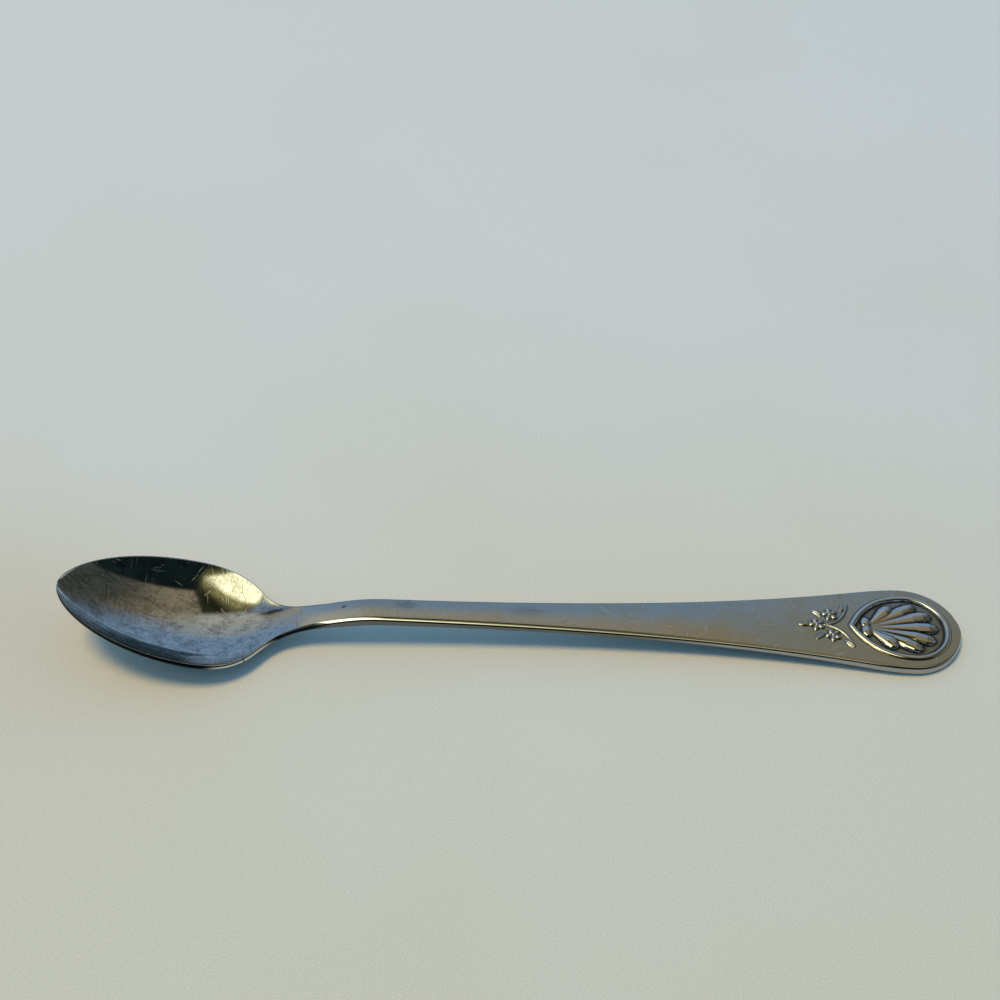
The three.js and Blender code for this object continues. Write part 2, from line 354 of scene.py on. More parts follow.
    def levels(self, s: np.ndarray) -> Levels:
        """Half widths and heights of the sections.

        Args:
            s: Stations.

        Returns:
            The half widths and heights.
        """
        slim = self.into_neck(s, 0.0, self.neck_slim * (1 - self.handle_share(s)))
        half = np.maximum(self.half_width(s), self.tip_facet / 2) + self.slim_spread * slim
        edge = self.edge(s)
        floor = np.where(s < self.hollow_end_at, np.minimum(self.floor(s), edge), edge) - slim
        edge = edge - slim
        under = self.under(s) - self.slim_sink * slim
        lip = edge - self.into_neck(s, self.rim_thickness, edge - under)
        sunk, lifted = self.turned_in(s, self.rim_round), self.turned_in(s, self.rim_under_round)
        return Levels(half, floor - sunk, edge - sunk, lip + lifted, under + lifted)

    def skin(self, stations: np.ndarray, across: int, relief: Relief | None = None) -> np.ndarray:
        """Points of the surface, one closed loop for each station.

        Args:
            stations: Stations along the spoon.
            across: Steps across the top.
            relief: Height of struck ornament on the top, by station and distance across.

        Returns:
            Points as (station, point of the loop, xyz), counter-clockwise seen from the handle's end.
        """
        s = np.clip(np.asarray(stations, float), 0, self.length)[:, None]
        level = self.levels(s)
        top, low = self.edge_rounds(s, level.half, level.edge - level.lip)
        fading = 1 - smooth_step(s, self.end_zone_at - self.crown_fade, self.end_zone_at)
        crown = self.into_neck(s, 0.0, self.handle_crown) * fading * level.half

        v = self.across_section(self.under_steps)
        bottom_y = v * (level.half - low.reach)
        bottom_z = level.under + (level.lip - level.under) * np.abs(v) ** self.dish_power
        v = self.across_section(across)
        top_y = v * (level.half - top.reach)
        top_z = level.floor + (level.edge - level.floor) * np.abs(v) ** self.dish_power + crown * (1 - v**2)
        if relief is not None:
            top_z = top_z + relief(np.broadcast_to(s, top_y.shape), top_y)

        angle = np.linspace(0.0, math.pi / 2, self.round_steps + 1)[None, :]
        low_turn, top_turn = angle[:, 1:], angle[:, :-1]
        low_y = level.half - low.reach * (1 - np.sin(low_turn) ** low.bevel)
        low_z = level.lip + low.height * (1 - np.cos(low_turn) ** low.bevel)
        high_y = level.half - top.reach * (1 - np.cos(top_turn) ** top.bevel)
        high_z = level.edge - top.height * (1 - np.sin(top_turn) ** top.bevel)

        rising_y, rising_z = np.hstack([low_y, high_y]), np.hstack([low_z, high_z])
        y = np.hstack([bottom_y, rising_y, top_y[:, ::-1], -rising_y[:, ::-1]])
        z = np.hstack([bottom_z, rising_z, top_z[:, ::-1], rising_z[:, ::-1]])
        x = np.broadcast_to(s - self.length / 2, y.shape)
        return np.stack([x, y, np.maximum(z, 0.0)], axis=-1)


def distance_to_path(x: np.ndarray, y: np.ndarray, path: np.ndarray) -> np.ndarray:
    """Distance from points to a path of straight pieces.

    Args:
        x: Points' x.
        y: Points' y.
        path: The path's points as (point, xy).

    Returns:
        The shortest distance of each point.
    """
    nearest = np.full(x.shape, np.inf)
    for a, b in zip(path[:-1], path[1:]):
        step = b - a
        share = np.clip(((x - a[0]) * step[0] + (y - a[1]) * step[1]) / max(step @ step, TINY), 0, 1)
        nearest = np.minimum(nearest, np.hypot(x - a[0] - share * step[0], y - a[1] - share * step[1]))
    return nearest


@dataclass
class Ornament:
    """Teardrop frame, scallop shell and flower sprig, as heights over the handle's top in millimetres.

    Each place in the sprig is a distance ahead of the frame's point and one aside from the handle's middle. A
    turn is an angle from the handle's length. What stands aside comes again, mirrored, on the other side.
    """

    form: SpoonForm
    frame_length: float = 16.3
    frame_margin: float = 1.6
    frame_band: float = 0.95
    frame_rise: float = 0.38
    frame_fullness: float = 0.7
    point_inset: float = 0.55
    point_lead: float = 0.2
    point_rise: float = 0.57
    side_lead: float = 0.5
    side_stride: int = 60
    arc_points: int = 40
    field_sink: float = 0.16
    field_edge: Range = (0.25, 0.6)
    shell_ribs: int = 7
    shell_spread: float = math.radians(84)
    shell_gap: float = 0.9
    shell_rib_width: float = 2.3
    shell_rise: float = 0.62
    rib_places: tuple[float, ...] = (0.0, 0.35, 0.7, 0.86, 0.95, 1.0)
    rib_swells: tuple[float, ...] = (0.0, 0.5, 1.0, 0.93, 0.68, 0.0)
    hinge_gap: float = 3.0
    ear_aside: float = 0.8
    ear_length: float = 1.6
    ear_width: float = 2.3
    ear_rise: float = 0.8
    sprig_rise: float = 0.36
    petals: int = 5
    petal_length: float = 1.15
    petal_width: float = 0.8
    petal_away: float = 0.62
    heart_rise: float = 1.1
    leaf_length: float = 1.9
    leaf_width: float = 0.75
    leaf_rise: float = 0.8
    groove_width: float = 0.09
    groove_depth: float = 0.45
    stem_width: float = 0.42
    stem_points: int = 24
    middle_blossom_at: Place = (4.8, 0.0)
    middle_leaf_at: Place = (6.8, 0.0)
    side_blossom_at: Place = (2.5, 2.1)
    side_blossom_turn: float = 0.5
    first_leaf_at: Place = (4.6, 2.3)
    first_leaf_turn: float = -0.7
    last_leaf_at: Place = (0.2, 3.7)
    last_leaf_turn: float = 0.9
    side_stem: tuple[Place, Place, Place] = ((3.6, 0.0), (1.0, 1.3), (-0.4, 4.2))

    def __post_init__(self) -> None:
        """Places the ornament from the handle's end."""
        self.point_at = self.form.length - self.frame_margin - self.frame_length
        self.half = self.form.end_width / 2 - self.frame_margin
        self.centre = self.frame_length - self.half

    def height(self, stations: np.ndarray, y: np.ndarray) -> np.ndarray:
        """Height of the ornament over the plain top.

        Args:
            stations: Stations of the points.
            y: Distances across the handle.

        Returns:
            Heights, zero where the top is plain.
        """
        x = stations - self.point_at
        path = self.teardrop(self.frame_band / 2)
        upper = path[: len(path) // 2 + 1]
        inside = (np.abs(y) < np.interp(x, upper[:, 0], upper[:, 1], left=0, right=0)).astype(float)
        gap = distance_to_path(x, y, path)
        edge_from, edge_to = (share * self.frame_band for share in self.field_edge)
        sink = -self.field_sink * inside * smooth_step(gap, edge_from, edge_to)
        bead = self.frame_rise * np.clip(1 - (gap / (self.frame_band / 2)) ** 2, 0, 1) ** self.frame_fullness
        raised = np.maximum(bead, self.sprig(x, y))
        shell = (self.shell(x, y) - self.field_sink) * inside
        return np.where(shell > sink, np.maximum(shell, raised), raised + sink)

    def teardrop(self, inset: float) -> np.ndarray:
        """Closed outline of the frame, drawn in by an inset, far side first.

        Args:
            inset: Distance in from the frame's outer edge.

        Returns:
            Points as (point, xy), from the frame's point round and back.
        """
        half = self.half - inset
        start = inset * (self.frame_length / self.half) * self.point_inset
        run = self.centre - start
        side = Line(
            Knot(start, 0.0, slope=self.point_rise * half / (self.point_lead * run), after=self.point_lead),
            Knot(self.centre, half, before=self.side_lead),
        ).points[:: self.side_stride]
        turn = np.linspace(math.pi / 2, 0, self.arc_points)[1:]
        arc = np.c_[self.centre + half * np.cos(turn), half * np.sin(turn)]
        upper = np.vstack([side, [[self.centre, half]], arc])
        return np.vstack([upper, upper[-2::-1] * [1, -1]])

    def shell(self, x: np.ndarray, y: np.ndarray) -> np.ndarray:
        """Height of the shell's ribs and ears over the sunk field.

        Args:
            x: Distances from the frame's point along the handle.
            y: Distances across the handle.

        Returns:
            Heights, zero beside the shell.
        """
        radius = self.half - self.frame_band - self.shell_gap
        reach = self.centre - self.hinge_gap
        full = self.shell_rise + self.field_sink
        height = np.zeros(x.shape)
        for angle in np.linspace(-0.5, 0.5, self.shell_ribs) * self.shell_spread:
            length = reach * math.cos(angle) + math.sqrt(max(radius**2 - (reach * math.sin(angle)) ** 2, 0))
            along = ((x - self.hinge_gap) * math.cos(angle) + y * math.sin(angle)) / length
            aside = y * math.cos(angle) - (x - self.hinge_gap) * math.sin(angle)
            swell = np.interp(along, self.rib_places, self.rib_swells)
            wide = np.maximum(swell * self.shell_rib_width / 2, TINY)
            rib = full * swell * np.sqrt(np.clip(1 - (aside / wide) ** 2, 0, 1))
            height = np.maximum(height, np.where(swell > 0, rib, 0))
        ear_rise = self.ear_rise * self.shell_rise
        ears = self.bead(
            x - self.hinge_gap, np.abs(y) - self.ear_aside, self.ear_length, self.ear_width, ear_rise
        )
        return np.maximum(height, ears)

    def bead(
        self, x: np.ndarray, y: np.ndarray, length: float, width: float, rise: float, turn: float = 0.0
    ) -> np.ndarray:
        """Height of a low oval bead.

        Args:
            x: Distances from the bead's middle along the handle.
            y: Distances from its middle across the handle.
            length: Length of the oval.
            width: Width of the oval.
            rise: Height of its middle.
            turn: Angle of its length from the handle's.

        Returns:
            Heights, zero outside the oval.
        """
        along = x * math.cos(turn) + y * math.sin(turn)
        aside = y * math.cos(turn) - x * math.sin(turn)
        return rise * np.sqrt(np.clip(1 - (2 * along / length) ** 2 - (2 * aside / width) ** 2, 0, 1))

    def blossom(self, x: np.ndarray, y: np.ndarray, at: Place, turn: float) -> np.ndarray:
        """Height of a blossom.

        Args:
            x: Distances from the frame's point along the handle.
            y: Distances across the handle.
            at: Place of the blossom's heart.
            turn: Angle of its first petal.

        Returns:
            Heights, zero beside the blossom.
        """
        x, y = x + at[0], y - at[1]
        height = self.bead(x, y, self.petal_width, self.petal_width, self.heart_rise * self.sprig_rise)
        away = self.petal_away * self.petal_length
        for i in range(self.petals):
            angle = turn + i * 2 * math.pi / self.petals
            petal_x, petal_y = x - away * math.cos(angle), y - away * math.sin(angle)
            petal = self.bead(petal_x, petal_y, self.petal_length, self.petal_width, self.sprig_rise, angle)
            height = np.maximum(height, petal)
        return height

    def leaf(self, x: np.ndarray, y: np.ndarray, at: Place, turn: float) -> np.ndarray:
        """Height of a leaf with a groove along its middle.

        Args:
            x: Distances from the frame's point along the handle.
            y: Distances across the handle.
            at: Place of the leaf's middle.
            turn: Angle of its length.

        Returns:
            Heights, zero beside the leaf.
        """
        x, y = x + at[0], y - at[1]
        leaf = self.bead(x, y, self.leaf_length, self.leaf_width, self.leaf_rise * self.sprig_rise, turn)
        aside = y * math.cos(turn) - x * math.sin(turn)
        return leaf * (1 - self.groove_depth * np.exp(-((aside / self.groove_width) ** 2)))

    def stem(self, x: np.ndarray, y: np.ndarray, places: Sequence[Place]) -> np.ndarray:
        """Height of a round stem that bends through three places.

        Args:
            x: Distances from the frame's point along the handle.
            y: Distances across the handle.
            places: Places of its start, middle and end.

        Returns:
            Heights, zero beside the stem.
        """
        knots = np.array([(-ahead, aside) for ahead, aside in places])
        t = np.linspace(0, 1, self.stem_points)[:, None]
        bend = 2 * knots[1] - (knots[0] + knots[2]) / 2
        path = (1 - t) ** 2 * knots[0] + 2 * (1 - t) * t * bend + t**2 * knots[2]
        gap = distance_to_path(x, y, path)
        return self.stem_width / 2 * np.sqrt(np.clip(1 - (2 * gap / self.stem_width) ** 2, 0, 1))

    def sprig(self, x: np.ndarray, y: np.ndarray) -> np.ndarray:
        """Height of the blossoms, leaves and stems before the frame's point.

        Args:
            x: Distances from the frame's point along the handle.
            y: Distances across the handle.

        Returns:
            Heights, zero beside the sprig.
        """
        heights = [
            self.blossom(x, y, self.middle_blossom_at, math.pi),
            self.leaf(x, y, self.middle_leaf_at, 0.0),
        ]
        for aside in (-y, y):
            heights += [
                self.blossom(x, aside, self.side_blossom_at, self.side_blossom_turn),
                self.leaf(x, aside, self.first_leaf_at, self.first_leaf_turn),
                self.leaf(x, aside, self.last_leaf_at, self.last_leaf_turn),
                self.stem(x, aside, self.side_stem),
            ]
        return np.maximum.reduce(heights)


@dataclass
class Zone:
    """One zone of the blank, built as a closed mesh between two stations."""

    form: SpoonForm
    start: float
    end: float
    name: ZoneName
    slot: Slot
    steps: int
    across: int = 64
    relief: Relief | None = None
    nudge: float = 0.02

    def stations(self) -> np.ndarray:
        """Stations of the zone's sections."""
        return np.linspace(self.start, self.end, self.steps + 1)

    def build(self) -> bpy.types.Object:
        """Makes the zone's mesh, with normals that run on into its neighbours.

        Returns:
            The zone's object, riding on the spoon in place of its solid.
        """
        stations = self.stations()
        points = self.form.skin(stations, self.across, self.relief)
        normals = self.skin_normals(stations, points)
        rows, loop = points.shape[:2]
        index = np.arange(rows * loop).reshape(rows, loop)
        here, beyond = index[:-1], index[1:]
        quads = np.stack([here, np.roll(here, -1, 1), np.roll(beyond, -1, 1), beyond], -1).reshape(-1, 4)
        faces = [*quads.tolist(), index[0, ::-1].tolist(), index[-1].tolist()]
        mesh = bpy.data.meshes.new(self.name.value)
        mesh.from_pydata((points.reshape(-1, 3) * MM).tolist(), [], faces)
        mesh.shade_smooth()
        corner_normals = normals.reshape(-1, 3)[quads.reshape(-1)]
        caps = np.repeat([[-1.0, 0.0, 0.0], [1.0, 0.0, 0.0]], loop, axis=0)
        mesh.normals_split_custom_set(np.vstack([corner_normals, caps]).tolist())
        self.mark(mesh, points)
        piece = bpy.data.objects.new(f"{self.name.value}_skin", mesh)
        bpy.context.scene.collection.objects.link(piece)
        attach(piece, "root")
        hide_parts(self.name.value)
        return piece

    def skin_normals(self, stations: np.ndarray, points: np.ndarray) -> np.ndarray:
        """Unit normals of the surface at its points.

        Args:
            stations: Stations of the sections.
            points: The sections' points.

        Returns:
            Normals in the same layout as the points.
        """
        ahead = self.form.skin(stations + self.nudge, self.across, self.relief)
        behind = self.form.skin(stations - self.nudge, self.across, self.relief)
        around = np.roll(points, -1, 1) - np.roll(points, 1, 1)
        normals = np.cross(around, ahead - behind)
        return normals / np.maximum(np.linalg.norm(normals, axis=-1, keepdims=True), TINY)

    def mark(self, mesh: bpy.types.Mesh, points: np.ndarray) -> None:
        """Marks how upright the zone's edges stand: 1 on their walls, and on the facets at the spoon's ends.

        Args:
            mesh: The zone's mesh.
            points: Its points, section by section.
        """
        turn = np.linspace(0.0, math.pi / 2, self.form.round_steps + 1)
        edge = np.concatenate([np.sin(turn[1:]), np.cos(turn[:-1])])
        bottom, top = np.zeros(self.form.under_steps + 1), np.zeros(self.across + 1)
        flank = np.tile(np.concatenate([bottom, edge, top, edge[::-1]]), (len(points), 1))
        flank[np.isclose(np.abs(points[:, 0, 0]), self.form.length / 2)] = 1.0
        self.note(mesh, Mark.FLANK, flank)

    @staticmethod
    def note(mesh: bpy.types.Mesh, mark: Mark, values: np.ndarray) -> None:
        """Writes one value for each point of a mesh."""
        layer = mesh.attributes.new(mark.value, "FLOAT", "POINT")
        layer.data.foreach_set("value", values.reshape(-1).astype(np.float32))

    def dress(self, piece: bpy.types.Object, material: bpy.types.Material) -> None:
        """Gives the zone its finish."""
        piece.data.materials.append(material)


@dataclass
class Bowl(Zone):
    """Dished bowl, with stations that crowd towards its tip."""

    name: ZoneName = ZoneName.BOWL
    slot: Slot = Slot.BOWL_STEEL
    steps: int = 60
    across: int = 72
    tip_steps: int = 60

    def stations(self) -> np.ndarray:
        """Stations of the bowl's sections.

        Returns:
            The stations, from the tip to the end of the hollow.
        """
        angle = np.linspace(0, math.pi / 2, self.tip_steps + 1)
        tip = self.form.bowl_widest_at * (1 - np.cos(angle))
        return np.concatenate([tip, np.linspace(self.form.bowl_widest_at, self.end, self.steps + 1)[1:]])


@dataclass
class Neck(Zone):
    """Narrow raised neck."""

    name: ZoneName = ZoneName.NECK
    slot: Slot = Slot.HANDLE_STEEL
    steps: int = 50


@dataclass
class Handle(Zone):
    """Long flat handle."""

    name: ZoneName = ZoneName.HANDLE
    slot: Slot = Slot.HANDLE_STEEL
    steps: int = 60


@dataclass
class HandleEnd(Zone):
    """Round end with the struck ornament and the flat foot under it."""

    name: ZoneName = ZoneName.HANDLE_END
    slot: Slot = Slot.HANDLE_STEEL
    steps: int = 210
    across: int = 220
    end_steps: int = 100
    recess_reach: int = 14
    field_soil: float = 0.04
    field_depths: Range = (0.04, 0.12)
    struck_heights: Range = (0.02, 0.08)

    def stations(self) -> np.ndarray:
        """Stations of the end's sections, which crowd towards its round.

        Returns:
            The stations, from the sprig's start to the spoon's end.
        """
        angle = np.linspace(0, math.pi / 2, self.end_steps + 1)[::-1]
        inner = self.form.end_widest_at
        round_end = self.form.length - (self.form.length - inner) * (1 - np.cos(angle))
        return np.concatenate([np.linspace(self.start, inner, self.steps + 1), round_end[1:]])

    def mark(self, mesh: bpy.types.Mesh, points: np.ndarray) -> None:
        """Marks the edges, the struck ornament, and how deep each point lies among its neighbours.

        Args:
            mesh: The zone's mesh.
            points: Its points, section by section.
        """
        super().mark(mesh, points)
        stations, y = points[..., 0] + self.form.length / 2, points[..., 1]
        top_from = self.form.under_steps + 1 + 2 * self.form.round_steps
        on_top = slice(top_from, top_from + self.across + 1)
        height = np.zeros(stations.shape)
        height[:, on_top] = self.relief(stations[:, on_top], y[:, on_top])
        sunk = smooth_step(-height, *self.field_depths) * self.field_soil
        self.note(mesh, Mark.RECESS, self.spread(height) - height + sunk)
        self.note(mesh, Mark.STRUCK, smooth_step(self.spread(np.abs(height)), *self.struck_heights))

    def spread(self, values: np.ndarray) -> np.ndarray:
        """Mean of each point's value and those of the points round it.

        Args:
            values: Values, section by section.

        Returns:
            The means in the same layout.
        """
        for _ in range(self.recess_reach):
            padded = np.pad(values, 1, mode="edge")
            along = padded[:-2, 1:-1] + padded[2:, 1:-1]
            values = (along + padded[1:-1, :-2] + padded[1:-1, 2:] + values) / 5
        return values


@dataclass(frozen=True)
class Ease:
    """Range of a value, and the range that it is eased to."""

    low: float
    high: float
    to_low: float = 0.0
    to_high: float = 1.0

    def in_metres(self) -> "Ease":
        """The same ease for a distance, given here in millimetres."""
        return Ease(self.low * MM, self.high * MM, self.to_low, self.to_high)


class Graph:
    """Places nodes in one node tree and links them."""

    def __init__(self, tree: bpy.types.NodeTree) -> None:
        """Works on the given tree."""
        self.tree = tree

    def add(self, kind: str, inputs: dict[Any, Any] | None = None, **settings: Any) -> bpy.types.Node:
        """Adds one node.

        Args:
            kind: Blender's name of the node's type.
            inputs: Values or other nodes' outputs for its inputs.
            settings: The node's own settings.

        Returns:
            The node.
        """
        node = self.tree.nodes.new(kind)
        for key, value in settings.items():
            setattr(node, key, value)
        self.fill(node, inputs or {})
        return node

    def fill(self, node: bpy.types.Node, inputs: dict[Any, Any]) -> None:
        """Sets a node's inputs, or links them where they are other nodes' outputs.

        Args:
            node: The node.
            inputs: Values or outputs, by the input's name or number.
        """
        for key, value in inputs.items():
            if isinstance(value, bpy.types.NodeSocket):
                self.tree.links.new(value, node.inputs[key])
            else:
                node.inputs[key].default_value = value

    def group(self, tree: bpy.types.NodeTree, inputs: dict[Any, Any]) -> Any:
        """Places a shader group.

        Args:
            tree: The group's tree.
            inputs: Values or other nodes' outputs for its inputs.

        Returns:
            The group's outputs.
        """
        node = self.add("ShaderNodeGroup", node_tree=tree)
        self.fill(node, inputs)
        return node.outputs

    def math(self, operation: str, first: Any, second: Any = 0.0) -> bpy.types.NodeSocket:
        """Output of a sum on one or two values."""
        return self.add("ShaderNodeMath", {0: first, 1: second}, operation=operation).outputs[0]

    def vector(self, operation: str, first: Any, second: Any, output: str = "Vector") -> bpy.types.NodeSocket:
        """Output of a sum on two vectors."""
        return self.add("ShaderNodeVectorMath", {0: first, 1: second}, operation=operation).outputs[output]

    def scaled(self, vector: Any, scale: Any) -> bpy.types.NodeSocket:
        """Output of a vector or a colour times a value."""
        return self.add("ShaderNodeVectorMath", {0: vector, "Scale": scale}, operation="SCALE").outputs[0]

    def turned(self, place: Any, angle: Any) -> bpy.types.NodeSocket:
        """Output of a place turned about the upright axis."""
        inputs = {"Vector": place, "Angle": angle}
        return self.add("ShaderNodeVectorRotate", inputs, rotation_type="Z_AXIS").outputs[0]

    def blend(self, share: Any, first: Any, second: Any) -> bpy.types.NodeSocket:
        """Output of a colour that goes from the first to the second."""
        return self.add("ShaderNodeMix", {0: share, 6: first, 7: second}, data_type="RGBA").outputs[2]

    def mix(self, share: Any, first: Any, second: Any) -> bpy.types.NodeSocket:
        """Output of a value that goes from the first to the second."""
        return self.add("ShaderNodeMix", {0: share, 2: first, 3: second}, data_type="FLOAT").outputs[0]

    def span(
        self, value: Any, low: Any, high: Any, to_low: float = 0.0, to_high: float = 1.0
    ) -> bpy.types.NodeSocket:
        """Output of a value eased from one range to another."""
        inputs = {0: value, 1: low, 2: high, 3: to_low, 4: to_high}
        return self.add("ShaderNodeMapRange", inputs, interpolation_type="SMOOTHSTEP").outputs[0]

    def ease(self, value: Any, ease: Ease) -> bpy.types.NodeSocket:
        """Output of a value eased as named."""
        return self.span(value, ease.low, ease.high, ease.to_low, ease.to_high)

    def distance(self, place: Any, middle: Place, reach: Place) -> bpy.types.NodeSocket:
        """Output of the distance from a middle, which is 1 at the reach along each axis."""
        offset = self.vector("DIVIDE", self.vector("SUBTRACT", place, (*middle, 0.0)), (*reach, 1.0))
        return self.vector("LENGTH", offset, offset, "Value")


def rgba(colour: Colour) -> tuple[float, float, float, float]:
    """Colour with full alpha."""
    return (*colour, 1.0)


class EffectGroups:
    """Shader groups that the finishes share."""

    HAIRLINE_DRAW = 0.03
    HAIRLINE_DETAIL = 2.0
    SCORE_EDGE = (0.32, 0.1)
    MOTTLE_DETAIL = 3.0

    def __init__(self) -> None:
        """Builds each group once."""
        self.hairlines = self.make_hairlines()
        self.scores = self.make_scores()
        self.mottle = self.make_mottle()

    @staticmethod
    def start(name: str, inputs: dict[str, float | None], outputs: Sequence[str]) -> tuple[Graph, Any, Any]:
        """Starts a group.

        Args:
            name: The group's name.
            inputs: Input names, each with its default, or with none where it takes a place.
            outputs: Names of its value outputs.

        Returns:
            The group's graph, its input node's outputs and its output node's inputs.
        """
        tree = bpy.data.node_groups.new(name, "ShaderNodeTree")
        for key, default in inputs.items():
            kind = "NodeSocketVector" if default is None else "NodeSocketFloat"
            socket = tree.interface.new_socket(key, in_out="INPUT", socket_type=kind)
            if default is not None:
                socket.default_value = default
        for key in outputs:
            tree.interface.new_socket(key, in_out="OUTPUT", socket_type="NodeSocketFloat")
        graph = Graph(tree)
        return graph, graph.add("NodeGroupInput").outputs, graph.add("NodeGroupOutput").inputs

    def make_hairlines(self) -> bpy.types.NodeTree:
        """Group of fine lines that all run one way, as polishing leaves them.

        Returns:
            A tree that puts out a value about 0.5, drawn out along the lines.
        """
        inputs = {"Place": None, "Turn": 0.0, "Fineness": 3000.0}
        graph, given, made = self.start("hairlines", inputs, ["Value"])
        along = graph.math("MULTIPLY", given["Fineness"], self.HAIRLINE_DRAW)
        stretch = graph.add("ShaderNodeCombineXYZ", {0: along, 1: given["Fineness"]}).outputs[0]
        drawn = graph.vector("MULTIPLY", graph.turned(given["Place"], given["Turn"]), stretch)
        grain = {"Vector": drawn, "Scale": 1.0, "Detail": self.HAIRLINE_DETAIL}
        noise = graph.add("ShaderNodeTexNoise", grain, noise_dimensions="2D")
        graph.tree.links.new(noise.outputs[0], made["Value"])
        return graph.tree

    def make_scores(self) -> bpy.types.NodeTree:
        """Group of short straight scratches that lie every way.

        Returns:
            A tree that puts out a mask, 1 in the middle of a scratch.
        """
        inputs = {"Place": None, "Shift": 0.0, "Share": 0.3, "Length": 260.0, "Fineness": 5500.0, "Bend": 0.0}
        graph, given, made = self.start("scores", inputs, ["Mask"])
        moved = graph.add("ShaderNodeCombineXYZ", {0: given["Shift"], 1: given["Shift"]}).outputs[0]
        place = graph.vector("ADD", given["Place"], moved)
        area = {"Vector": place, "Scale": given["Length"]}
        sway = graph.add("ShaderNodeTexNoise", area, noise_dimensions="2D").outputs["Color"]
        place = graph.vector("ADD", place, graph.scaled(sway, given["Bend"]))
        area = {"Vector": place, "Scale": given["Length"]}
        cells = graph.add("ShaderNodeTexVoronoi", area, voronoi_dimensions="2D").outputs
        chance = graph.add("ShaderNodeSeparateColor", {0: cells["Color"]}).outputs[0]
        turned = graph.turned(place, graph.math("MULTIPLY", chance, math.tau))
        stretch = graph.add("ShaderNodeCombineXYZ", {0: given["Length"], 1: given["Fineness"]}).outputs[0]
        drawn = {"Vector": graph.vector("MULTIPLY", turned, stretch), "Scale": 1.0}
        marks = graph.add("ShaderNodeTexVoronoi", drawn, voronoi_dimensions="2D").outputs
        chance = graph.add("ShaderNodeSeparateColor", {0: marks["Color"]}).outputs[1]
        kept = graph.math("LESS_THAN", chance, given["Share"])
        mask = graph.math("MULTIPLY", graph.span(marks["Distance"], *self.SCORE_EDGE), kept)
        graph.tree.links.new(mask, made["Mask"])
        return graph.tree

    def make_mottle(self) -> bpy.types.NodeTree:
        """Group of soft unevenness at two sizes.

        Returns:
            A tree that puts out a fine and a broad unevenness, each about 0.5.
        """
        inputs = {"Place": None, "Fine Scale": 1900.0, "Broad Scale": 260.0}
        graph, given, made = self.start("mottle", inputs, ["Fine", "Broad"])
        for name in ("Fine", "Broad"):
            grain = {"Vector": given["Place"], "Scale": given[f"{name} Scale"], "Detail": self.MOTTLE_DETAIL}
            graph.tree.links.new(graph.add("ShaderNodeTexNoise", grain).outputs[0], made[name])
        return graph.tree


@dataclass(frozen=True)
class Stain:
    """Soft dark stain on the steel, with its middle and its half lengths in millimetres."""

    middle: Place
    reach: Place
    depth: float


@dataclass(frozen=True)
class WearAndShade:
    """How wear, and the painted highlights and painted shade of the edges and the handle's end, spread over
    the steel, alike in both finishes.

    An edge is told by how upright it stands, from 0 to 1, and unevenness by its value about 0.5. A recess is
    told by its depth, and a place across the spoon by its distance from the middle, both in millimetres.
    """

    scores_off_edge: Ease = Ease(0.5, 0.1)
    scores_in_patches: Ease = Ease(0.42, 0.56, 0.25, 1.0)
    scores_off_join: Ease = Ease(0.0, 0.8, 1.0, 0.0)
    score_shine: float = 0.75
    score_roughness: float = 0.3
    rubbed_off_recess: Ease = Ease(0.02, -0.03, 0.0, 0.7)
    # Painted highlight on the rounded edges, partly because they are polished, by how upright the edge
    # stands.
    polish_and_highlight_on_edge: Ease = Ease(0.3, 0.5, 0.0, 0.97)
    gloss_in_patches: Range = (0.3, 0.75)
    gloss_on_struck: Ease = Ease(0.0, 1.0, 1.0, 0.4)
    gloss_on_edge: Ease = Ease(0.1, 0.5, 1.0, 0.4)
    hairline_relief: float = 0.6
    tarnish_in_patches: Range = (0.36, 0.66)
    tarnish_in_specks: Range = (0.36, 0.7)
    tarnish_off_specks: float = -0.5
    # Painted shade: stronger towards the near side, across the handle's end.
    shade_to_near_side: Ease = Ease(6.0, -7.0, 0.25, 1.75)
    # Painted shade lines above and below the edge's highlight, by how upright the edge stands.
    line_above_starts: Ease = Ease(0.0, 0.1)
    line_above_ends: Ease = Ease(0.45, 0.28)
    line_above_fades: Ease = Ease(0.0, 1.0, 0.7, 0.1)
    line_below_starts: Ease = Ease(0.76, 0.86)
    line_below_ends: Ease = Ease(0.99, 0.95)
    dark_score_shift: float = 0.37
    dark_score_length: float = 110.0
    dark_score_fineness: float = 4600.0
    dark_score_bend: float = 0.006
    dark_score_depth: float = 0.8
    pits: Range = (0.62, 0.78)
    pit_depth: float = 0.25
    grime_in_recess: Ease = Ease(0.0, 0.09, 0.0, 0.93)
    stain_edge: Range = (1.5, 0.7)


@dataclass(frozen=True)
class Spot:
    """Outputs that tell a finish where on the spoon it is."""

    place: bpy.types.NodeSocket
    along: bpy.types.NodeSocket
    across: bpy.types.NodeSocket
    flank: bpy.types.NodeSocket
    recess: bpy.types.NodeSocket
    struck: bpy.types.NodeSocket
    fine: bpy.types.NodeSocket
    broad: bpy.types.NodeSocket
    off_join: bpy.types.NodeSocket
    joining: bpy.types.NodeSocket


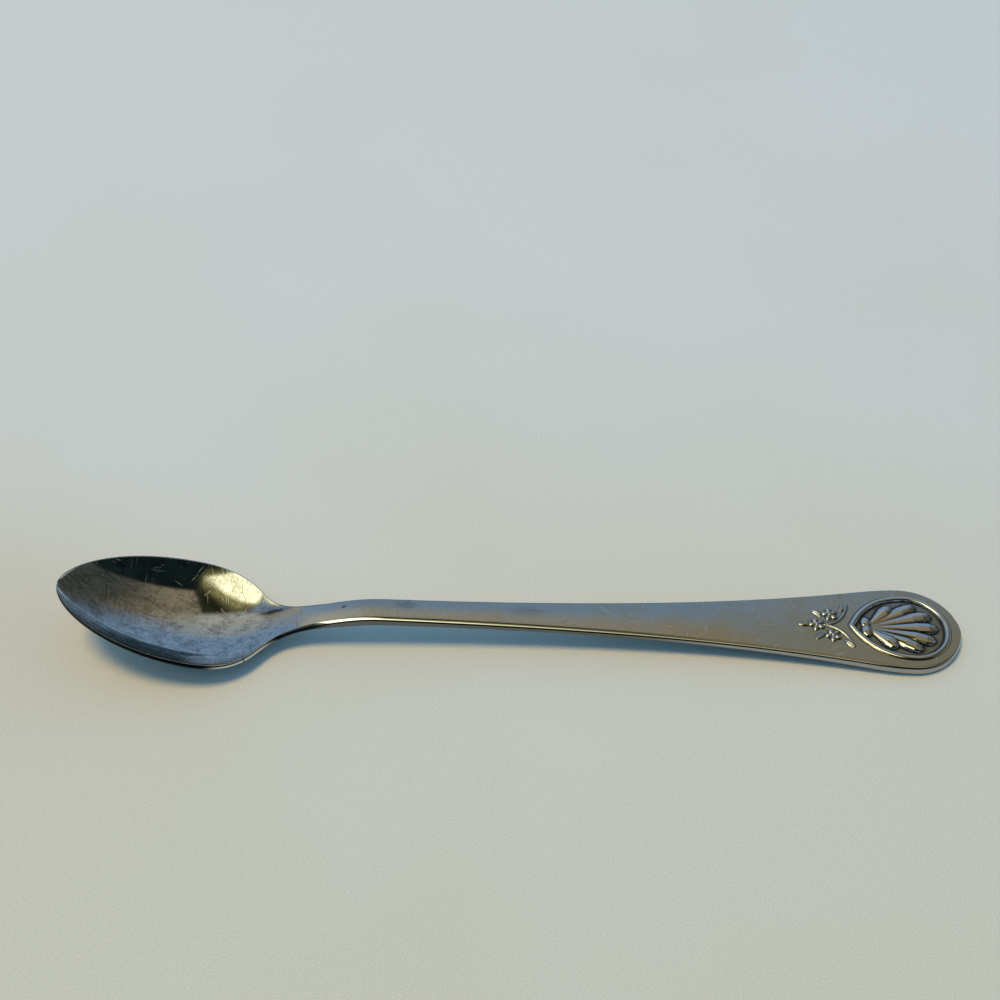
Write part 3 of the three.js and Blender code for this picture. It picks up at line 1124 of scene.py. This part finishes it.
@dataclass(frozen=True)
class SteelFinish:
    """Worn steel: its colours, its gloss, how it is scratched and stained, and the painted highlights and
    painted shade on its edges and towards the handle's end.

    Places along the spoon are millimetres from its middle. Both finishes turn to one where they join.
    """

    name: str
    clean: Colour
    # Colour of tarnish, and also of the painted shade towards the handle's end.
    tarnish_and_shade: Colour
    # Colour of grime in recesses, pits, dark scratches and stains, and also of the painted shade lines along
    # the edges.
    grime_and_edge_shade: Colour
    # Painted shade: the edges' walls, darkened where they mirror the shadowed table.
    flank: Colour
    # Painted light: the edges' walls, lightened about lit_middle where they mirror the lit table or a glint.
    flank_lit: Colour
    lit_middle: float
    lit_reach: Range
    gloss_low: float
    gloss_high: float
    unevenness: float
    speckle: float
    blotches: float
    brushing_turn: float
    bright_scores: float
    dark_scores: float
    tarnish_share: float
    # Share of painted shade towards the handle's end.
    end_shade: float
    # Share of the painted shade lines along the edges.
    edge_shade_lines: float
    stains: tuple[Stain, ...]
    end_reach: Range = (0.0, 62.0)
    score_colour: Colour = (0.86, 0.86, 0.84)
    rubbed: Colour = (0.70, 0.70, 0.72)
    # Painted highlight: the edges' bright line, lightened and tinted blue in the colour, partly because they
    # are polished.
    edge_polish_and_highlight: Colour = (0.86, 0.87, 1.0)
    join_at: float = -31.5
    join_reach: float = 9.0
    join: Colour = (0.54, 0.53, 0.505)
    join_gloss: float = 0.12
    # Painted shade on the edges' walls where the finishes join.
    join_flank_shade: Colour = (0.012, 0.016, 0.024)
    edge_turn: float = 3.5
    flank_starts: Range = (0.06, 0.85)
    flank_full: Range = (0.3, 0.96)
    wear: WearAndShade = WearAndShade()

    def make(self, groups: EffectGroups) -> bpy.types.Material:
        """Builds the material.

        Args:
            groups: Shader groups to use.

        Returns:
            The material.
        """
        material = bpy.data.materials.new(self.name)
        material.use_nodes = True
        graph = Graph(material.node_tree)
        spot = self.survey(graph, groups)
        scores = self.scored(graph, groups, spot)
        inputs = {
            "Base Color": self.coloured(graph, groups, spot, scores),
            "Metallic": 1.0,
            "Roughness": self.roughened(graph, spot, scores),
            "Normal": self.grained(graph, groups, spot),
        }
        graph.fill(material.node_tree.nodes["Principled BSDF"], inputs)
        return material

    def survey(self, graph: Graph, groups: EffectGroups) -> Spot:
        """Adds the nodes that tell one place on the spoon from another.

        Args:
            graph: The material's graph.
            groups: Shader groups to use.

        Returns:
            Their outputs.
        """
        place = graph.add("ShaderNodeTexCoord").outputs["Object"]
        along, across, _ = graph.add("ShaderNodeSeparateXYZ", {0: place}).outputs
        flank, recess, struck = (
            graph.add("ShaderNodeAttribute", attribute_name=mark.value).outputs["Fac"]
            for mark in (Mark.FLANK, Mark.RECESS, Mark.STRUCK)
        )
        uneven = graph.group(groups.mottle, {"Place": place, "Broad Scale": self.blotches})
        off_join = graph.math("ABSOLUTE", graph.math("SUBTRACT", along, self.join_at * MM))
        joining = graph.ease(off_join, Ease(self.join_reach, 0.0).in_metres())
        return Spot(
            place, along, across, flank, recess, struck, uneven["Fine"], uneven["Broad"], off_join, joining
        )

    def scored(self, graph: Graph, groups: EffectGroups, spot: Spot) -> bpy.types.NodeSocket:
        """Mask of the bright scratches.

        Args:
            graph: The material's graph.
            groups: Shader groups to use.
            spot: Where on the spoon.

        Returns:
            The mask's output.
        """
        mask = graph.group(groups.scores, {"Place": spot.place, "Share": self.bright_scores})["Mask"]
        for value, ease in (
            (spot.flank, self.wear.scores_off_edge),
            (spot.broad, self.wear.scores_in_patches),
            (spot.joining, self.wear.scores_off_join),
        ):
            mask = graph.math("MULTIPLY", mask, graph.ease(value, ease))
        return mask

    def coloured(self, graph: Graph, groups: EffectGroups, spot: Spot, scores: Any) -> bpy.types.NodeSocket:
        """Colour of the steel, with all its wear, and with its painted highlights and painted shade.

        Args:
            graph: The material's graph.
            groups: Shader groups to use.
            spot: Where on the spoon.
            scores: Mask of the bright scratches.

        Returns:
            The colour's output.
        """
        colour = self.tarnished_and_shaded(graph, spot)
        colour = graph.blend(spot.joining, colour, rgba(self.join))
        raised = graph.math("MULTIPLY", spot.struck, graph.ease(spot.recess, self.wear.rubbed_off_recess))
        colour = graph.blend(raised, colour, rgba(self.rubbed))
        # Painted highlight on the rounded edges, partly because they are polished.
        polish_and_highlight = graph.ease(spot.flank, self.wear.polish_and_highlight_on_edge)
        colour = graph.blend(polish_and_highlight, colour, rgba(self.edge_polish_and_highlight))
        shine = graph.math("MULTIPLY", scores, self.wear.score_shine)
        colour = graph.blend(shine, colour, rgba(self.score_colour))
        colour = self.edged(graph, spot, colour)
        return graph.blend(self.soiled(graph, groups, spot), colour, rgba(self.grime_and_edge_shade))

    def tarnished_and_shaded(self, graph: Graph, spot: Spot) -> bpy.types.NodeSocket:
        """Colour of the steel between clean and tarnished, with painted shade towards the handle's end and
        its near side.

        Args:
            graph: The material's graph.
            spot: Where on the spoon.

        Returns:
            The colour's output.
        """
        # Painted shade: darker and browner towards the handle's end, most on its near side.
        to_end = graph.ease(spot.along, Ease(*self.end_reach, 0.0, self.end_shade).in_metres())
        to_near_side = graph.ease(spot.across, self.wear.shade_to_near_side.in_metres())
        patches = graph.span(spot.broad, *self.wear.tarnish_in_patches, 0.0, self.tarnish_share)
        between = self.wear.tarnish_off_specks * self.speckle
        specks = graph.span(spot.fine, *self.wear.tarnish_in_specks, between, self.speckle)
        share = graph.math("ADD", patches, graph.math("MULTIPLY", to_end, to_near_side))
        return graph.blend(graph.math("ADD", share, specks), rgba(self.clean), rgba(self.tarnish_and_shade))

    def edged(self, graph: Graph, spot: Spot, colour: Any) -> bpy.types.NodeSocket:
        """Lays painted shade and painted light on the walls of the edges, and the painted shade lines beside
        their highlight, over the steel.

        Args:
            graph: The material's graph.
            spot: Where on the spoon.
            colour: Colour of the steel.

        Returns:
            The output of all together.
        """
        away = graph.math("ABSOLUTE", graph.math("SUBTRACT", spot.along, self.lit_middle * MM))
        lit = graph.ease(away, Ease(self.lit_reach[1], self.lit_reach[0]).in_metres())
        # Painted shade on the edges' walls, turning to painted light about lit_middle.
        wall = graph.blend(lit, rgba(self.flank), rgba(self.flank_lit))
        at_join = graph.ease(spot.off_join, Ease(self.edge_turn, 0.0).in_metres())
        wall = graph.blend(at_join, wall, rgba(self.join_flank_shade))
        turn = (self.join_at, self.join_at + self.edge_turn)
        starts, full = (
            graph.ease(spot.along, Ease(*turn, *ends).in_metres())
            for ends in (self.flank_starts, self.flank_full)
        )
        colour = graph.blend(graph.span(spot.flank, starts, full), colour, wall)
        # Painted shade: dark lines above and below the edge's highlight.
        return graph.blend(self.shade_lined(graph, spot, lit), colour, rgba(self.grime_and_edge_shade))

    def shade_lined(self, graph: Graph, spot: Spot, lit: Any) -> bpy.types.NodeSocket:
        """Share of the painted shade lines that run above and below the edge's painted highlight.

        Args:
            graph: The material's graph.
            spot: Where on the spoon.
            lit: How far the edge's wall is lit, where the line above it fades.

        Returns:
            The share's output.
        """
        wear = self.wear
        above_starts, above_ends, below_starts, below_ends = (
            graph.ease(spot.flank, ease)
            for ease in (
                wear.line_above_starts,
                wear.line_above_ends,
                wear.line_below_starts,
                wear.line_below_ends,
            )
        )
        above = graph.math("MULTIPLY", above_starts, above_ends)
        above = graph.math("MULTIPLY", above, graph.ease(lit, wear.line_above_fades))
        below = graph.math("MULTIPLY", below_starts, below_ends)
        lines = graph.math("MULTIPLY", graph.math("MAXIMUM", above, below), self.edge_shade_lines)
        return graph.math("MULTIPLY", lines, graph.ease(spot.off_join, Ease(0.0, self.edge_turn).in_metres()))

    def soiled(self, graph: Graph, groups: EffectGroups, spot: Spot) -> bpy.types.NodeSocket:
        """Share of grime: in recesses and pits, along dark scratches and on stains.

        Args:
            graph: The material's graph.
            groups: Shader groups to use.
            spot: Where on the spoon.

        Returns:
            The share's output.
        """
        wear = self.wear
        inputs = {
            "Place": spot.place,
            "Shift": wear.dark_score_shift,
            "Share": self.dark_scores,
            "Length": wear.dark_score_length,
            "Fineness": wear.dark_score_fineness,
            "Bend": wear.dark_score_bend,
        }
        dark = graph.math("MULTIPLY", graph.group(groups.scores, inputs)["Mask"], wear.dark_score_depth)
        share = graph.math("MAXIMUM", graph.ease(spot.recess, wear.grime_in_recess), dark)
        pits = graph.span(spot.fine, *wear.pits, 0.0, wear.pit_depth * self.speckle)
        share = graph.math("MAXIMUM", share, pits)
        for stain in self.stains:
            middle, reach = ((x * MM, y * MM) for x, y in (stain.middle, stain.reach))
            away = graph.math("ADD", graph.distance(spot.place, middle, reach), spot.fine)
            share = graph.math("MAXIMUM", share, graph.span(away, *wear.stain_edge, 0.0, stain.depth))
        return share

    def roughened(self, graph: Graph, spot: Spot, scores: Any) -> bpy.types.NodeSocket:
        """Roughness of the steel.

        Args:
            graph: The material's graph.
            spot: Where on the spoon.
            scores: Mask of the bright scratches.

        Returns:
            The roughness's output.
        """
        dull = graph.span(spot.fine, *self.wear.gloss_in_patches, self.gloss_low, self.gloss_high)
        dull = graph.mix(spot.joining, dull, self.join_gloss)
        dull = graph.math("MULTIPLY", dull, graph.ease(spot.struck, self.wear.gloss_on_struck))
        dull = graph.math("MULTIPLY", dull, graph.ease(spot.flank, self.wear.gloss_on_edge))
        return graph.math("ADD", dull, graph.math("MULTIPLY", scores, self.wear.score_roughness))

    def grained(self, graph: Graph, groups: EffectGroups, spot: Spot) -> bpy.types.NodeSocket:
        """Normal of the steel, with its fine unevenness and its polishing lines.

        Args:
            graph: The material's graph.
            groups: Shader groups to use.
            spot: Where on the spoon.

        Returns:
            The normal's output.
        """
        lines = graph.group(groups.hairlines, {"Place": spot.place, "Turn": self.brushing_turn})["Value"]
        relief = graph.math("ADD", spot.fine, graph.math("MULTIPLY", lines, self.wear.hairline_relief))
        inputs = {"Height": relief, "Distance": self.unevenness * MM, "Strength": 1.0}
        return graph.add("ShaderNodeBump", inputs).outputs[0]


@dataclass
class Table:
    """Plain pale table top under the spoon, a little cooler towards its far side, with a painted warm shade
    beside the bowl's tip, with places in metres.
    """

    size: float = 3.2
    near: Colour = (0.543, 0.54, 0.468)
    far: Colour = (0.578, 0.60, 0.605)
    shade_from: float = -0.06
    shade_to: float = 0.13
    drift: Ease = Ease(0.25, 0.75, -0.2, 0.2)
    drift_scale: float = 14.0
    # Painted shade: a warm, darker tint on the table beside the bowl's tip.
    painted_warm_shade: Colour = (0.51, 0.475, 0.38)
    painted_warm_shade_at: Place = (-0.088, 0.002)
    painted_warm_shade_reach: Place = (0.034, 0.03)
    painted_warm_shade_share: Ease = Ease(1.3, 0.0, 0.0, 0.6)
    grain: Ease = Ease(0.3, 0.7, 0.92, 1.08)
    grain_scale: float = 4200.0
    roughness: float = 0.85
    shine: float = 0.1

    def build(self, groups: EffectGroups) -> bpy.types.Object:
        """Makes the table top under the spoon.

        Args:
            groups: Shader groups to use.

        Returns:
            The table's object.
        """
        half = self.size / 2
        corners = [(-half, -half, 0), (half, -half, 0), (half, half, 0), (-half, half, 0)]
        mesh = bpy.data.meshes.new("table")
        mesh.from_pydata(corners, [], [(0, 1, 2, 3)])
        table = bpy.data.objects.new("table", mesh)
        bpy.context.scene.collection.objects.link(table)
        mesh.materials.append(self.finish(groups))
        return table

    def finish(self, groups: EffectGroups) -> bpy.types.Material:
        """Builds the table's material.

        Args:
            groups: Shader groups to use.

        Returns:
            The material.
        """
        material = bpy.data.materials.new("pale_table")
        material.use_nodes = True
        graph = Graph(material.node_tree)
        place = graph.add("ShaderNodeTexCoord").outputs["Object"]
        depth = graph.add("ShaderNodeSeparateXYZ", {0: place}).outputs[1]
        scales = {"Fine Scale": self.grain_scale, "Broad Scale": self.drift_scale}
        uneven = graph.group(groups.mottle, {"Place": place, **scales})
        drift = graph.ease(uneven["Broad"], self.drift)
        share = graph.math("ADD", graph.span(depth, self.shade_from, self.shade_to), drift)
        colour = graph.blend(share, rgba(self.near), rgba(self.far))
        # Painted shade: a warm tint on the table beside the bowl's tip.
        painted_warmth = graph.ease(graph.distance(place, self.painted_warm_shade_at, self.painted_warm_shade_reach), self.painted_warm_shade_share)
        colour = graph.blend(painted_warmth, colour, rgba(self.painted_warm_shade))
        inputs = {
            "Base Color": graph.scaled(colour, graph.ease(uneven["Fine"], self.grain)),
            "Roughness": self.roughness,
            "Specular IOR Level": self.shine,
        }
        graph.fill(material.node_tree.nodes["Principled BSDF"], inputs)
        return material


@dataclass(frozen=True)
class SoftLamp:
    """Square soft lamp over the table, aimed at the spoon, with sizes in metres.

    It lights the table. In the steel, patches of the room stand in for it.
    """

    toward: Direction = (-0.27, -0.065, 0.96)
    distance: float = 2.4
    side: float = 0.66
    brightness: float = 31.0
    colour: Colour = (1.0, 0.70, 0.30)

    def build(self) -> bpy.types.Object:
        """Makes the lamp, with its power worked out from its brightness.

        Returns:
            The lamp's object.
        """
        data = bpy.data.lights.new("lamp", "AREA")
        data.size = self.side
        data.color = self.colour
        data.energy = self.brightness * math.pi * self.side**2
        lamp = bpy.data.objects.new("lamp", data)
        lamp.location = Vector(self.toward).normalized() * self.distance
        lamp.rotation_euler = Vector(self.toward).to_track_quat("Z", "Y").to_euler()
        lamp.visible_camera = False
        lamp.visible_glossy = False
        bpy.context.scene.collection.objects.link(lamp)
        return lamp


@dataclass(frozen=True)
class Limit:
    """Soft edge of a patch of the room: how far a direction must reach along an axis."""

    axis: Direction
    starts: float
    full: float


@dataclass(frozen=True)
class Patch:
    """Part of the room that takes a colour, inside all of its limits."""

    colour: Colour
    limits: tuple[Limit, ...]


@dataclass
class Room:
    """Room round the table: what the camera sees of it, how it fills the shadows, and what the steel mirrors.

    Light that steel has mirrored more than deep_after times comes from the deep patches.
    """

    seen: Colour = (0.56, 0.58, 0.56)
    fill: Colour = (0.33, 0.60, 0.90)
    front_fill: Colour = (0.05, 0.27, 0.52)
    ceiling: Colour = (0.31, 0.27, 0.18)
    window: Patch = Patch((0.245, 0.385, 0.58), (Limit((0, 1, 0), 0.56, 0.68),))
    lit_wall: Patch = Patch(
        (0.55, 0.565, 0.50),
        (
            Limit((-1, 0, 0), -0.47, 0.26),
            Limit((0, 1, 0), 0.37, 0.52),
            Limit((0, -1, 0), -0.70, -0.58),
            Limit((1, 0, 0), -0.62, -0.50),
        ),
    )
    dim_side: Patch = Patch((0.075, 0.082, 0.07), (Limit((1, 0, 0), 0.3, 0.8),))
    lamp_fringe: Patch = Patch(
        (0.03, 0.033, 0.018),
        (Limit((-0.97, -0.23, 0), -0.085, -0.06), Limit((0, -1, 0), -0.50, -0.34)),
    )
    dark_front: Patch = Patch((0.010, 0.019, 0.019), (Limit((-0.18, -0.98, 0), 0.30, 0.40),))
    lamp_glow: Patch = Patch(
        (0.42, 0.39, 0.15),
        (
            Limit((-0.872, -0.488, 0), 0.04, 0.28),
            Limit((0, -1, 0), -0.46, -0.30),
            Limit((0, 1, 0), -0.86, -0.66),
            Limit((-1, 0, 0), -0.16, -0.08),
        ),
    )
    blue_side: Patch = Patch(
        (0.24, 0.34, 0.47),
        (Limit((-0.8, 0.6, 0), 0.62, 0.72), Limit((0, -1, 0), -0.54, -0.44)),
    )
    lamp_core: Patch = Patch(
        (2.3, 2.22, 1.42),
        (
            Limit((-0.84, -0.54, 0), 0.25, 0.39),
            Limit((0, 1, 0), -0.74, -0.66),
            Limit((0, -1, 0), -0.32, -0.16),
            Limit((0.8, -0.6, 0), -0.70, -0.60),
        ),
    )
    deep: Colour = (0.085, 0.16, 0.22)
    deep_heel: Patch = Patch((0.51, 0.78, 1.16), (Limit((-1, 0, 0), -0.16, -0.02),))
    deep_tip: Patch = Patch((0.26, 0.42, 0.58), (Limit((1, 0, 0), 0.55, 0.72),))
    deep_after: float = 1.5

    def build(self) -> bpy.types.World:
        """Makes the world.

        Returns:
            The world.
        """
        world = bpy.data.worlds.new("room")
        world.use_nodes = True
        graph = Graph(world.node_tree)
        direction = graph.add("ShaderNodeTexCoord").outputs["Generated"]
        mirrored: Any = rgba(self.ceiling)
        for patch in (
            self.window,
            self.lit_wall,
            self.dim_side,
            self.lamp_fringe,
            self.dark_front,
            self.lamp_glow,
            self.blue_side,
            self.lamp_core,
        ):
            mirrored = self.lay(graph, direction, patch, mirrored)
        deep: Any = rgba(self.deep)
        for patch in (self.deep_heel, self.deep_tip):
            deep = self.lay(graph, direction, patch, deep)
        ray = graph.add("ShaderNodeLightPath").outputs
        again = graph.math("GREATER_THAN", ray["Glossy Depth"], self.deep_after)
        mirrored = graph.blend(again, mirrored, deep)
        front = Patch(self.front_fill, self.dark_front.limits)
        fill = self.lay(graph, direction, front, rgba(self.fill))
        colour = graph.blend(ray["Is Glossy Ray"], fill, mirrored)
        colour = graph.blend(ray["Is Camera Ray"], colour, rgba(self.seen))
        graph.tree.links.new(colour, world.node_tree.nodes["Background"].inputs["Color"])
        bpy.context.scene.world = world
        return world

    @staticmethod
    def lay(graph: Graph, direction: Any, patch: Patch, under: Any) -> bpy.types.NodeSocket:
        """Lays a patch over what lies under it.

        Args:
            graph: The world's graph.
            direction: Output with the direction looked in.
            patch: The patch.
            under: Colour, or output of the colour, that it lies over.

        Returns:
            The output of both together.
        """
        share: Any = 1.0
        for limit in patch.limits:
            reach = graph.vector("DOT_PRODUCT", direction, limit.axis, "Value")
            share = graph.math("MULTIPLY", share, graph.span(reach, limit.starts, limit.full))
        return graph.blend(share, under, rgba(patch.colour))


@dataclass
class Viewpoint:
    """Camera at the photograph's place, in millimetres."""

    place: tuple[float, float, float] = (-2.43, -162.28, 194.61)
    aim: tuple[float, float, float] = (-2.37, 30.01, 0.0)
    roll: float = math.radians(0.142)
    lens: float = 57.6
    sensor: float = 36.0
    clip_start: float = 10.0

    def build(self) -> bpy.types.Object:
        """Makes the scene's camera.

        Returns:
            The camera's object.
        """
        data = bpy.data.cameras.new("viewpoint")
        data.lens = self.lens
        data.sensor_width = self.sensor
        data.clip_start = self.clip_start * MM
        camera = bpy.data.objects.new("viewpoint", data)
        bpy.context.scene.collection.objects.link(camera)
        place, aim = Vector(self.place) * MM, Vector(self.aim) * MM
        turn = (aim - place).to_track_quat("-Z", "Y").to_matrix() @ Matrix.Rotation(self.roll, 3, "Z")
        camera.rotation_mode = "QUATERNION"
        camera.rotation_quaternion = turn.to_quaternion()
        camera.location = place
        bpy.context.scene.camera = camera
        return camera


BOWL_FINISH = SteelFinish(
    name="bowl_steel",
    clean=(0.56, 0.56, 0.55),
    tarnish_and_shade=(0.33, 0.32, 0.30),
    grime_and_edge_shade=(0.045, 0.05, 0.06),
    # Painted shade on the rim's walls, with a painted glint near the heel.
    flank=(0.012, 0.016, 0.024),
    flank_lit=(0.66, 0.68, 0.70),
    lit_middle=-42.0,
    lit_reach=(2.5, 5.5),
    gloss_low=0.05,
    gloss_high=0.12,
    unevenness=0.0005,
    speckle=0.5,
    blotches=480.0,
    brushing_turn=0.4,
    bright_scores=0.34,
    dark_scores=0.12,
    tarnish_share=0.7,
    end_shade=0.0,
    edge_shade_lines=0.0,
    stains=(Stain((-38.0, 2.3), (3.2, 0.6), 0.9),),
)
HANDLE_FINISH = SteelFinish(
    name="handle_steel",
    clean=(0.485, 0.47, 0.436),
    tarnish_and_shade=(0.49, 0.41, 0.27),
    grime_and_edge_shade=(0.05, 0.045, 0.035),
    # Painted shade on the handle's walls, turning to painted light towards its end.
    flank=(0.17, 0.18, 0.17),
    flank_lit=(0.42, 0.44, 0.46),
    lit_middle=70.0,
    lit_reach=(34.0, 55.0),
    gloss_low=0.14,
    gloss_high=0.24,
    unevenness=0.0008,
    speckle=0.3,
    blotches=260.0,
    brushing_turn=0.02,
    bright_scores=0.05,
    dark_scores=0.01,
    tarnish_share=0.4,
    end_shade=0.6,
    edge_shade_lines=0.92,
    stains=(
        Stain((-26.6, 0.6), (0.5, 0.4), 0.7),
        Stain((-17.0, 0.8), (2.5, 1.3), 0.3),
        Stain((1.5, 0.4), (4.0, 1.6), 0.18),
    ),
)


def main() -> None:
    """Builds the spoon, its finishes, the table, the light and the camera."""
    logging.basicConfig(level=logging.INFO, format="%(message)s")
    bpy.context.scene.view_settings.view_transform = "Standard"
    Viewpoint().build()
    form = SpoonForm()
    ornament = Ornament(form)
    zones = [
        Bowl(form, 0.0, form.hollow_end_at),
        Neck(form, form.hollow_end_at, form.neck_end_at),
        Handle(form, form.neck_end_at, form.end_zone_at),
        HandleEnd(form, form.end_zone_at, form.length, relief=ornament.height),
    ]
    groups = EffectGroups()
    materials = {Slot.BOWL_STEEL: BOWL_FINISH.make(groups), Slot.HANDLE_STEEL: HANDLE_FINISH.make(groups)}
    for zone in zones:
        piece = zone.build()
        zone.dress(piece, materials[zone.slot])
        LOG.info("%s: %d faces", piece.name, len(piece.data.polygons))
    Table().build(groups)
    Room().build()
    SoftLamp().build()


if __name__ == "__main__":
    main()
